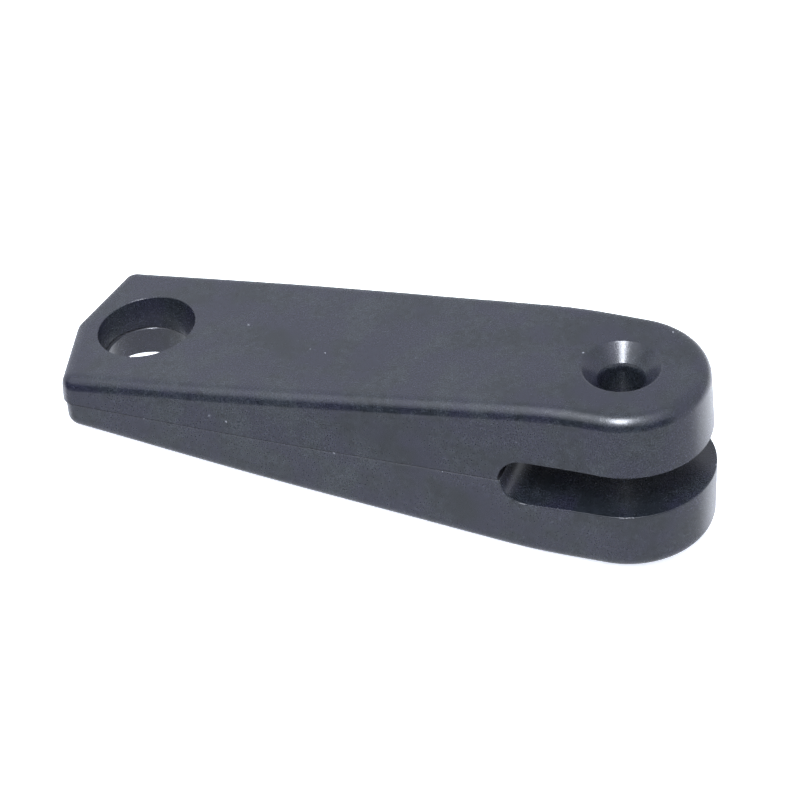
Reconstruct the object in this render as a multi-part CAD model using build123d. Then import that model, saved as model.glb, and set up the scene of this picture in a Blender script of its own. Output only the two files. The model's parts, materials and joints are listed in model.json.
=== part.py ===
from build123d import *
import math
import os

# Cleat horn: a moulded nylon link with a cord eye at its thin end and a forked, countersunk pivot at its
# thick end. It is bonded from two of the same half moulding, which meet on the mid-plane a little out of line
# with each other. The pivot hole is drilled through both after bonding, so it is straight.
#
# Frame, in millimetres: the origin is on the pivot axis at the mid-plane. +X runs along the link, from the
# eye to the fork. +Z runs along the pivot axis. The halves meet on Z = 0.

# Plan outline, at the parting plane
HEAD_RADIUS = 13.05          # round nose of the fork
HEAD_X = 0.6                 # centre of that round, just past the pivot
END_X = -82.7                # corners of the thin end
HALF_WIDTHS = (              # x and half width: the thin end, the belly, the shoulder, the waist, the head
    (END_X, 14.2),
    (-52.0, 14.3),
    (-26.0, 13.78),
    (-11.0, 13.42),
    (HEAD_X, HEAD_RADIUS),
)
GABLE = 3.06                 # the thin end is a shallow gable, this much longer at mid-width
CORNER_RADIUS = 2.3          # upright corners of the thin end
GABLE_RADIUS = 3.0
SIDE_DRAFT = 1.9             # degrees, narrowing away from the parting plane

# Thickness, from the mid-plane to one outer face
EAR_HALF_THICKNESS = 13.87   # flat faces round the pivot
FACE_SLOPE = 7.2             # degrees, of the wedge from the eye to the fold
FOLD_X = -8.3                # where the sloped face would meet the flat one
FOLD_RADIUS = 95.0           # soft blend between them
EDGE_RADIUS = 2.1            # rounding of the outer faces' edges

# Fork slot
SLOT_ROOT_RADIUS = 3.9       # full round at the slot's inner end
SLOT_ROOT_X = -10.7
SLOT_TAPER = 1.0             # degrees, each ear leans in towards its tip
SLOT_EDGE_RADIUS = 0.15

# Pivot hole for an M6 pin or countersunk screw, the same from both sides
PIVOT_RADIUS = 3.3
SINK_RADIUS = 5.9
SINK_ANGLE = 90.0            # degrees, full angle of the cone
SINK_LIP_RADIUS = 0.5
SINK_FOOT_RADIUS = 1.0

# Cord eye, drafted both ways from the parting plane
EYE_X = -74.3
EYE_RADIUS = 6.75
EYE_DRAFT = 6.7              # degrees
EYE_LIP_RADIUS = 0.15

# Parting face: the small bevel that shows as the seam, and the locating pegs
SEAM_BEVEL = 0.1
MISALIGNMENT = 0.4           # along X: the lower half sits this much nearer the fork than the upper one
PEG_RADIUS = 1.6
PEG_HEIGHT = 3.0
PEG_GAP = 0.45               # radial clearance of a peg in its socket, which allows the misalignment
SOCKET_EXTRA_DEPTH = 0.3
PEG_TIP_BEVEL = 0.4
PEG_ROOT = 0.5                # overlap that joins a peg to its half
PEG_PLACES = ((-64.7, 9.6), (-18.3, 8.0))

# Cored pockets, which keep the walls even so that the faces don't sink as they cool
WALL = 3.2
POCKET_START_X = -60.7
POCKET_END_X = -22.0
POCKET_COUNT = 4             # along the link, on each side of the middle rib
CROSS_RIB = 2.2
MIDDLE_RIB = 2.6
POCKET_CORNER_RADIUS = 1.0

REACH = 40.0                 # longer than any cut needs


def half_width(x):
    """Half the link's width at the parting plane, between the places where it is given."""
    for (start_x, start_y), (end_x, end_y) in zip(HALF_WIDTHS, HALF_WIDTHS[1:]):
        if x <= end_x:
            return start_y + (end_y - start_y) * (x - start_x) / (end_x - start_x)
    return HEAD_RADIUS


def plan_face():
    """The outline at the parting plane, counter-clockwise from the thin end's -Y corner."""
    near_flank = [(x, -y) for x, y in HALF_WIDTHS]
    far_flank = list(reversed(HALF_WIDTHS))
    with BuildSketch() as sketch:
        with BuildLine():
            Spline(*near_flank, tangents=((1, 0), (1, 0)))
            ThreePointArc(near_flank[-1], (HEAD_X + HEAD_RADIUS, 0.0), far_flank[0])
            Spline(*far_flank, tangents=((-1, 0), (-1, 0)))
            Polyline(far_flank[-1], (END_X - GABLE, 0.0), near_flank[0])
        make_face()
        corners = sketch.vertices().filter_by(lambda v: abs(v.X - END_X) < 0.01)
        fillet(corners, CORNER_RADIUS)
        fillet(sketch.vertices().sort_by(Axis.X)[0], GABLE_RADIUS)
    return sketch.sketch


def face_height(x):
    """Height of the sloped outer face above the mid-plane at x."""
    return EAR_HALF_THICKNESS + (x - FOLD_X) * math.tan(math.radians(FACE_SLOPE))


def under_face(drop=0.0):
    """The space below the outer face, lowered by drop."""
    far = END_X - REACH
    top = EAR_HALF_THICKNESS - drop
    start = (far, face_height(far) - drop)
    with BuildSketch(Plane.XZ) as sketch:
        with BuildLine():
            FilletPolyline(start, (FOLD_X, top), (REACH, top), radius=FOLD_RADIUS)
            Polyline((REACH, top), (REACH, -REACH), (far, -REACH), start)
        make_face()
    return extrude(sketch.sketch, amount=REACH, both=True)


def shared(edge, faces):
    """True for an edge that two of the faces share."""
    return sum(any(edge.is_same(other) for other in face.edges()) for face in faces) > 1


def outer_block():
    """A solid half: drafted sides, sloped face and rounded edges."""
    block = extrude(plan_face(), amount=REACH / 2, taper=SIDE_DRAFT) & under_face()
    outer_faces = block.faces().filter_by(lambda f: f.normal_at().Z > 0.9)
    rim = outer_faces.edges().filter_by(lambda e: not shared(e, outer_faces))
    return fillet(rim, EDGE_RADIUS)


def slot():
    """The fork slot: a full round at its inner end, then faces that close in slightly to the tip."""
    taper = math.radians(SLOT_TAPER)
    tangent_x = SLOT_ROOT_X + SLOT_ROOT_RADIUS * math.sin(taper)
    tangent_z = SLOT_ROOT_RADIUS * math.cos(taper)
    mouth_z = tangent_z - (REACH - tangent_x) * math.tan(taper)
    root = (SLOT_ROOT_X - SLOT_ROOT_RADIUS, 0.0)
    with BuildSketch(Plane.XZ) as sketch:
        with BuildLine():
            ThreePointArc((tangent_x, -tangent_z), root, (tangent_x, tangent_z))
            Polyline((tangent_x, tangent_z), (REACH, mouth_z), (REACH, -mouth_z), (tangent_x, -tangent_z))
        make_face()
    return extrude(sketch.sketch, amount=REACH, both=True)


def cone_hole(x, low_z, low_radius, high_z, high_radius):
    """A round hole on an upright axis at x, whose radius changes evenly with height."""
    height = high_z - low_z
    return Pos(x, 0, low_z + height / 2) * Cone(low_radius, high_radius, height)


def eye_hole():
    """The cord eye in one half, widening from the parting plane."""
    top_z = EAR_HALF_THICKNESS
    return cone_hole(EYE_X, 0.0, EYE_RADIUS, top_z, EYE_RADIUS + top_z * math.tan(math.radians(EYE_DRAFT)))


def pivot_hole(x):
    """The pivot hole with its countersink, on an upright axis at x."""
    depth = (SINK_RADIUS - PIVOT_RADIUS) / math.tan(math.radians(SINK_ANGLE / 2))
    sink = cone_hole(x, EAR_HALF_THICKNESS - depth, PIVOT_RADIUS, EAR_HALF_THICKNESS, SINK_RADIUS)
    return Pos(x, 0, 0) * Cylinder(PIVOT_RADIUS, 2 * REACH) + sink


def round_edges(body):
    """Bevel the seam's edges, then round the slot's rim and the lips of the holes."""
    seam = body.edges().filter_by(lambda e: abs(e.bounding_box().max.Z) < 0.001)
    body = chamfer(seam, SEAM_BEVEL)
    rim = body.edges().filter_by(is_slot_rim)
    body = fillet(rim, SLOT_EDGE_RADIUS)
    body = fillet(body.edges().filter_by(is_eye_lip), EYE_LIP_RADIUS)
    circles = body.edges().filter_by(GeomType.CIRCLE)
    lip = circles.filter_by(lambda e: abs(e.radius - SINK_RADIUS) < 0.001)
    body = fillet(lip, SINK_LIP_RADIUS)
    circles = body.edges().filter_by(GeomType.CIRCLE)
    foot = circles.filter_by(lambda e: abs(e.radius - PIVOT_RADIUS) < 0.001 and e.center().Z > SLOT_ROOT_RADIUS + 1)
    return fillet(foot, SINK_FOOT_RADIUS)


def is_slot_rim(edge):
    """True for an edge between the slot and the outside of the fork."""
    box = edge.bounding_box()
    in_slot = box.min.Z > -0.001 and 0.5 < box.max.Z < SLOT_ROOT_RADIUS + 0.001
    return in_slot and box.min.X > SLOT_ROOT_X - SLOT_ROOT_RADIUS - 0.5 and box.size.X > 0.5


def is_eye_lip(edge):
    """True for the eye's edge on the outer face."""
    box = edge.bounding_box()
    return box.min.Z > 1.0 and box.size.Y > EYE_RADIUS and box.max.X < EYE_X + 2 * EYE_RADIUS


def pockets():
    """Cored pockets in the parting face, between the ribs."""
    ribs = (POCKET_COUNT - 1) * CROSS_RIB
    length = (POCKET_END_X - POCKET_START_X - ribs) / POCKET_COUNT
    inner_y = MIDDLE_RIB / 2
    cavities = []
    for index in range(POCKET_COUNT):
        start_x = POCKET_START_X + index * (length + CROSS_RIB)
        end_x = start_x + length
        start_y = half_width(start_x) - WALL
        end_y = half_width(end_x) - WALL
        corners = ((start_x, inner_y), (end_x, inner_y), (end_x, end_y), (start_x, start_y))
        outline = Polygon(*corners, align=None)
        outline = fillet(outline.vertices(), POCKET_CORNER_RADIUS)
        cavity = extrude(outline, amount=REACH / 2) & under_face(WALL)
        cavities += [cavity, mirror(cavity, Plane.XZ)]
    return cavities


def pegs():
    """Locating pegs, which stand down from the parting face on the +Y side."""
    made = []
    for x, y in PEG_PLACES:
        peg = Pos(x, y, (PEG_ROOT - PEG_HEIGHT) / 2) * Cylinder(PEG_RADIUS, PEG_HEIGHT + PEG_ROOT)
        tip = peg.edges().sort_by(Axis.Z)[0]
        made.append(chamfer(tip, PEG_TIP_BEVEL))
    return made


def sockets():
    """Sockets on the -Y side, for the other half's pegs."""
    depth = PEG_HEIGHT + SOCKET_EXTRA_DEPTH
    return [Pos(x, -y, depth / 2) * Cylinder(PEG_RADIUS + PEG_GAP, depth) for x, y in PEG_PLACES]


def half(pivot_x):
    """One moulding with its parting face down on Z = 0, drilled at pivot_x."""
    shell = round_edges(outer_block() - slot() - eye_hole() - pivot_hole(pivot_x))
    return shell - pockets() - sockets() + pegs()


def save(shape, name):
    """Write one sub-part to its STEP file."""
    shape.label = name
    export_step(shape, f"parts/{name}.step")


os.makedirs("parts", exist_ok=True)
shift = MISALIGNMENT / 2
save(Pos(-shift, 0, 0) * half(shift), "upper_half")
save(Pos(shift, 0, 0) * Rot(180, 0, 0) * half(-shift), "lower_half")
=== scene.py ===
import json
import math

import bpy
from mathutils import Matrix, Vector

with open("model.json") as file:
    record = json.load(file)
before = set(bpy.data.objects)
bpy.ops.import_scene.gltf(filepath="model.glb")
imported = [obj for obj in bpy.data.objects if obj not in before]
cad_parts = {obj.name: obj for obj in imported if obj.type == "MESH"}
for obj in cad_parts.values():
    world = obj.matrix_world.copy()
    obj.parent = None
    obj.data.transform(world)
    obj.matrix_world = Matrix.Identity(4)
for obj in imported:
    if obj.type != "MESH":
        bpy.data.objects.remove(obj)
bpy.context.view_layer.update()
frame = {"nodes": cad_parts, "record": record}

mounts = {mount["name"]: mount for mount in frame["record"]["mounts"]}
scene = bpy.context.scene

# Lengths are in metres. Directions are in degrees: azimuth 0 is towards -Y and grows towards +X.

# Camera: it looks from its direction at its aim, and rolls about the line of sight
CAMERA_AZIMUTH = 21.70
CAMERA_ELEVATION = 39.07
CAMERA_ROLL = -3.916
CAMERA_DISTANCE = 0.6132
CAMERA_AIM = Vector((-0.03404, -0.00093, 0.00085))
CAMERA_LENS = 186.95         # millimetres
CAMERA_CLIP = (0.01, 20.0)

# Floor and surroundings
FLOOR_SIZE = 6.0
FLOOR_GAP = 0.00002          # keeps the floor off the face that rests on it, so that they don't flicker
FLOOR_COLOUR = (0.9, 0.9, 0.9, 1.0)
FLOOR_ROUGHNESS = 0.8
FLOOR_GLOW = 0.75
LIGHT_COLOUR = (0.93, 0.97, 1.07, 1.0)
WORLD_STRENGTH = 0.87

# Soft panels: core is the share of the radius that glows in full
SOFT_PANELS = {
    "canopy": {
        "azimuth": 6.0, "elevation": 66.0, "distance": 0.9,
        "width": 2.1, "height": 1.6, "radiance": 1.15, "core": 0.25,
    },
    "key": {
        "azimuth": 13.0, "elevation": 60.0, "distance": 0.85,
        "width": 0.28, "height": 0.86, "radiance": 42.0, "core": 0.1,
    },
    "back": {
        "azimuth": 242.0, "elevation": 36.0, "distance": 0.9,
        "width": 1.1, "height": 1.1, "radiance": 0.26, "core": 0.3,
    },
    "sweep_right": {
        "azimuth": 152.0, "elevation": -25.0, "distance": 0.9,
        "width": 1.8, "height": 0.9, "radiance": 1.2, "core": 0.4,
    },
    "sweep_left": {
        "azimuth": 262.0, "elevation": -25.0, "distance": 0.9,
        "width": 1.2, "height": 0.9, "radiance": 1.0, "core": 0.3,
    },
}

# Dark card, bent round the front
CARD_DISTANCE = 1.2
CARD_TOP = 20.0
CARD_BOTTOM = -27.0
CARD_HALF_TURN = 75.0
CARD_STEPS = 24

# Nylon colours
NYLON_DARK = (0.0092, 0.0115, 0.0147)
NYLON_LIGHT = (0.0188, 0.0225, 0.0283)
NYLON_VIOLET = (0.0140, 0.0145, 0.0255)
SCUFF_COLOUR = (0.30, 0.31, 0.34)
# Painted shade: a near-black colour for the seam groove, standing in for the shadow under the upper
# half's edge
SEAM_SHADE_COLOUR = (0.006, 0.006, 0.008)

# Nylon noises, with scales in features per metre
CLOUD = {"scale": 90.0, "detail": 4.0}
MOTTLE = {"scale": 900.0, "detail": 5.0, "roughness": 0.7}
GRAIN = {"scale": 3200.0, "detail": 3.0}
TINT = {"scale": 160.0, "detail": 2.0}
DUST_SCALE = 260.0
DUST_PATCH = {"scale": 130.0, "detail": 0.0}
NICK = {"scale": 900.0, "detail": 2.0}

# Nylon levels: where each noise starts and ends its fade, and the most that it adds
TONE_LEVELS = (0.41, 0.59)
TINT_LEVELS = (0.40, 0.60)
TINT_MOST = 0.8
SPECK_FADE = (0.03, 0.05)    # distance from a speck's centre, where one cell is about 1
PATCH_LEVELS = (0.56, 0.60)
NICK_LEVELS = (0.66, 0.70)
MARK_MOST = 0.8

# Nylon mixes: the shares of the first and second noise
TONE_SHARES = (0.45, 0.55)
POLISH_SHARES = (0.4, 0.6)
RELIEF_SHARES = (0.6, 0.4)

# Seam: heights over which each band fades in and out
NICK_BAND = ((-0.00022, -0.00010), (-0.00002, 0.00002))
# The second band is painted shade: where the near-black, dull seam colour lies, just above the parting
# plane
SEAM_SHADE_BAND = ((-0.000015, 0.000005), (0.00018, 0.00020))

# Nylon gloss and relief
POLISH_LEVELS = (0.35, 0.65)
ROUGHNESS = (0.20, 0.30)
# Roughness of the painted seam shade, so that the shaded groove shows no gloss
SEAM_SHADE_ROUGHNESS = 0.95
NYLON_IOR = 1.60
BUMP_STRENGTH = 0.3
BUMP_DISTANCE = 0.00005


def direction(azimuth, elevation):
    """Unit vector towards an azimuth and an elevation."""
    azimuth, elevation = math.radians(azimuth), math.radians(elevation)
    return Vector((
        math.sin(azimuth) * math.cos(elevation),
        -math.cos(azimuth) * math.cos(elevation),
        math.sin(elevation),
    ))


def level_right(back):
    """The level axis to the right of something whose back points this way."""
    return Vector((0.0, 0.0, 1.0)).cross(back).normalized()


def frame_of(right, up, back, place):
    """A world matrix from three axes and a place."""
    return Matrix.Translation(place) @ Matrix((right, up, back)).transposed().to_4x4()


def add(name, data):
    """A new object in the scene."""
    made = bpy.data.objects.new(name, data)
    scene.collection.objects.link(made)
    return made


def add_square(name, placing, width, height):
    """A flat rectangle in the first two axes of a world matrix."""
    mesh = bpy.data.meshes.new(name)
    mesh.from_pydata([(-1, -1, 0), (1, -1, 0), (1, 1, 0), (-1, 1, 0)], [], [(0, 1, 2, 3)])
    made = add(name, mesh)
    made.matrix_world = placing @ Matrix.Diagonal((width / 2, height / 2, 1.0, 1.0))
    return made


def new_material(name):
    """A material with its Principled shader and its node tree."""
    made = bpy.data.materials.new(name)
    made.use_nodes = True
    return made, made.node_tree, made.node_tree.nodes["Principled BSDF"]


def map_range(tree, value, source, target=(0.0, 1.0)):
    """A socket with value carried smoothly from one range to another."""
    node = tree.nodes.new("ShaderNodeMapRange")
    node.interpolation_type = "SMOOTHSTEP"
    tree.links.new(value, node.inputs["Value"])
    for socket, number in zip(("From Min", "From Max", "To Min", "To Max"), (*source, *target)):
        node.inputs[socket].default_value = number
    return node.outputs["Result"]


def noise(tree, vector, scale, detail, roughness=0.55):
    """A socket with fractal noise of about 0 to 1, at a scale in features per metre."""
    node = tree.nodes.new("ShaderNodeTexNoise")
    tree.links.new(vector, node.inputs["Vector"])
    node.inputs["Scale"].default_value = scale
    node.inputs["Detail"].default_value = detail
    node.inputs["Roughness"].default_value = roughness
    return node.outputs["Fac"]


def blend(tree, amount, first, second):
    """A colour socket between two colours, each a tuple or a socket."""
    node = tree.nodes.new("ShaderNodeMix")
    node.data_type = "RGBA"
    tree.links.new(amount, node.inputs["Factor"])
    for socket, colour in (("A_Color", first), ("B_Color", second)):
        target = next(one for one in node.inputs if one.identifier == socket)
        if isinstance(colour, tuple):
            target.default_value = (*colour, 1.0)
        else:
            tree.links.new(colour, target)
    return next(one for one in node.outputs if one.identifier == "Result_Color")


def combine(tree, operation, first, second):
    """A socket with two values combined, each a number or a socket."""
    node = tree.nodes.new("ShaderNodeMath")
    node.operation = operation
    for socket, value in zip(node.inputs, (first, second)):
        if isinstance(value, float):
            socket.default_value = value
        else:
            tree.links.new(value, socket)
    return node.outputs["Value"]


def share(tree, first, second, shares):
    """A socket with the sum of two values, each times its share."""
    parts = [combine(tree, "MULTIPLY", value, amount) for value, amount in zip((first, second), shares)]
    return combine(tree, "ADD", *parts)


def band(tree, value, rise, fall):
    """A socket that is 1 between two fades of a value, and 0 outside them."""
    risen = map_range(tree, value, rise)
    not_fallen = map_range(tree, value, fall, (1.0, 0.0))
    return combine(tree, "MULTIPLY", risen, not_fallen)


def make_camera():
    """The camera, aimed near the middle of the link."""
    back = direction(CAMERA_AZIMUTH, CAMERA_ELEVATION)
    across = level_right(back)
    above = back.cross(across)
    roll = math.radians(CAMERA_ROLL)
    right = math.cos(roll) * across + math.sin(roll) * above
    up = math.cos(roll) * above - math.sin(roll) * across
    data = bpy.data.cameras.new("camera")
    data.lens = CAMERA_LENS
    data.clip_start, data.clip_end = CAMERA_CLIP
    camera = add("camera", data)
    camera.matrix_world = frame_of(right, up, back, CAMERA_AIM + back * CAMERA_DISTANCE)
    scene.camera = camera


def make_world():
    """Even surroundings, white with a little blue."""
    world = bpy.data.worlds.new("studio")
    world.use_nodes = True
    background = world.node_tree.nodes["Background"]
    background.inputs["Color"].default_value = LIGHT_COLOUR
    background.inputs["Strength"].default_value = WORLD_STRENGTH
    scene.world = world


def make_floor():
    """A pale floor that the link lies on with its lower sloped face."""
    mount = mounts["lower_rest_face"]
    axis = Vector(mount["axis"])
    up = -axis.normalized()
    right = Vector((0.0, 1.0, 0.0)).cross(up).normalized()
    placing = frame_of(right, up.cross(right), up, Vector(mount["pos_m"]) + axis * FLOOR_GAP)
    floor = add_square("floor", placing, FLOOR_SIZE, FLOOR_SIZE)
    material, _, shader = new_material("floor")
    shader.inputs["Base Color"].default_value = FLOOR_COLOUR
    shader.inputs["Roughness"].default_value = FLOOR_ROUGHNESS
    shader.inputs["Emission Color"].default_value = LIGHT_COLOUR
    shader.inputs["Emission Strength"].default_value = FLOOR_GLOW
    floor.data.materials.append(material)
    floor.visible_glossy = False


def make_card():
    """A dark card bent round the front, which darkens the near side of the link and what it reflects."""
    verts = []
    for index in range(CARD_STEPS + 1):
        azimuth = -CARD_HALF_TURN + 2 * CARD_HALF_TURN * index / CARD_STEPS
        for elevation in (CARD_BOTTOM, CARD_TOP):
            ray = direction(azimuth, elevation)
            verts.append(CAMERA_AIM + ray * CARD_DISTANCE / math.cos(math.radians(elevation)))
    faces = [(2 * i, 2 * i + 2, 2 * i + 3, 2 * i + 1) for i in range(CARD_STEPS)]
    mesh = bpy.data.meshes.new("front_card")
    mesh.from_pydata(verts, [], faces)
    card = add("front_card", mesh)
    material, _, shader = new_material("front_card")
    shader.inputs["Base Color"].default_value = (0.0, 0.0, 0.0, 1.0)
    shader.inputs["Specular IOR Level"].default_value = 0.0
    mesh.materials.append(material)
    card.visible_camera = False
    card.visible_shadow = False


def soft_glow(name, radiance, core):
    """A clear material that glows in full at an object's middle and fades to nothing at radius 1."""
    material = bpy.data.materials.new(name)
    material.use_nodes = True
    tree = material.node_tree
    tree.nodes.clear()
    place = tree.nodes.new("ShaderNodeTexCoord")
    radius = tree.nodes.new("ShaderNodeVectorMath")
    radius.operation = "LENGTH"
    tree.links.new(place.outputs["Object"], radius.inputs[0])
    fade = map_range(tree, radius.outputs["Value"], (core, 1.0), (radiance, 0.0))
    glow = tree.nodes.new("ShaderNodeEmission")
    tree.links.new(fade, glow.inputs["Strength"])
    glow.inputs["Color"].default_value = LIGHT_COLOUR
    clear = tree.nodes.new("ShaderNodeBsdfTransparent")
    both = tree.nodes.new("ShaderNodeAddShader")
    tree.links.new(glow.outputs["Emission"], both.inputs[0])
    tree.links.new(clear.outputs["BSDF"], both.inputs[1])
    output = tree.nodes.new("ShaderNodeOutputMaterial")
    tree.links.new(both.outputs["Shader"], output.inputs["Surface"])
    return material


def soft_panel(name, azimuth, elevation, distance, width, height, radiance, core):
    """A glowing panel that faces the link. One below the floor is only seen in the link's gloss."""
    back = direction(azimuth, elevation)
    right = level_right(back)
    placing = frame_of(right, back.cross(right), back, CAMERA_AIM + back * distance)
    panel = add_square(name, placing, width, height)
    panel.data.materials.append(soft_glow(name, radiance, core))
    panel.visible_camera = False
    panel.visible_shadow = False


def nylon_tone(tree, place, cloud, mottle):
    """Blue-black, lighter and darker in clouds and mottles, with a violet tint in patches."""
    tone = map_range(tree, share(tree, cloud, mottle, TONE_SHARES), TONE_LEVELS)
    tint = map_range(tree, noise(tree, place, **TINT), TINT_LEVELS, (0.0, TINT_MOST))
    return blend(tree, tint, blend(tree, tone, NYLON_DARK, NYLON_LIGHT), NYLON_VIOLET)


def nylon_marks(tree, place, height):
    """Where the nylon is marked: dust specks in patches, and nicks just below the seam."""
    dust = tree.nodes.new("ShaderNodeTexVoronoi")
    tree.links.new(place, dust.inputs["Vector"])
    dust.inputs["Scale"].default_value = DUST_SCALE
    speck = map_range(tree, dust.outputs["Distance"], SPECK_FADE, (1.0, 0.0))
    patch = map_range(tree, noise(tree, place, **DUST_PATCH), PATCH_LEVELS, (0.0, MARK_MOST))
    nick = map_range(tree, noise(tree, place, **NICK), NICK_LEVELS, (0.0, MARK_MOST))
    return combine(
        tree, "MAXIMUM",
        combine(tree, "MULTIPLY", speck, patch),
        combine(tree, "MULTIPLY", band(tree, height, *NICK_BAND), nick),
    )


def nylon():
    """Moulded nylon: mottled, grained, dusty and nicked along the seam, with painted shade in its seam
    groove.
    """
    material, tree, shader = new_material("nylon")
    place = tree.nodes.new("ShaderNodeTexCoord").outputs["Object"]
    axes = tree.nodes.new("ShaderNodeSeparateXYZ")
    tree.links.new(place, axes.inputs["Vector"])
    height = axes.outputs["Z"]
    cloud = noise(tree, place, **CLOUD)
    mottle = noise(tree, place, **MOTTLE)
    grain = noise(tree, place, **GRAIN)
    # Painted shade: a band just above the parting plane, darkened and dulled to stand in for the shaded
    # seam groove
    seam_shade = band(tree, height, *SEAM_SHADE_BAND)

    colour = nylon_tone(tree, place, cloud, mottle)
    colour = blend(tree, nylon_marks(tree, place, height), colour, SCUFF_COLOUR)
    # Painted shade in the seam groove
    colour = blend(tree, seam_shade, colour, SEAM_SHADE_COLOUR)
    tree.links.new(colour, shader.inputs["Base Color"])

    polish = map_range(tree, share(tree, cloud, grain, POLISH_SHARES), POLISH_LEVELS, ROUGHNESS)
    dulled = combine(tree, "MULTIPLY", seam_shade, SEAM_SHADE_ROUGHNESS)
    tree.links.new(combine(tree, "MAXIMUM", polish, dulled), shader.inputs["Roughness"])
    shader.inputs["IOR"].default_value = NYLON_IOR

    bump = tree.nodes.new("ShaderNodeBump")
    bump.inputs["Strength"].default_value = BUMP_STRENGTH
    bump.inputs["Distance"].default_value = BUMP_DISTANCE
    tree.links.new(share(tree, mottle, grain, RELIEF_SHARES), bump.inputs["Height"])
    tree.links.new(bump.outputs["Normal"], shader.inputs["Normal"])
    return material


scene.view_settings.view_transform = "Standard"
make_camera()
make_world()
make_floor()
make_card()
for panel_name, panel_values in SOFT_PANELS.items():
    soft_panel(panel_name, **panel_values)
skin = nylon()
for node in frame["nodes"].values():
    for slot in node.material_slots:
        slot.material = skin
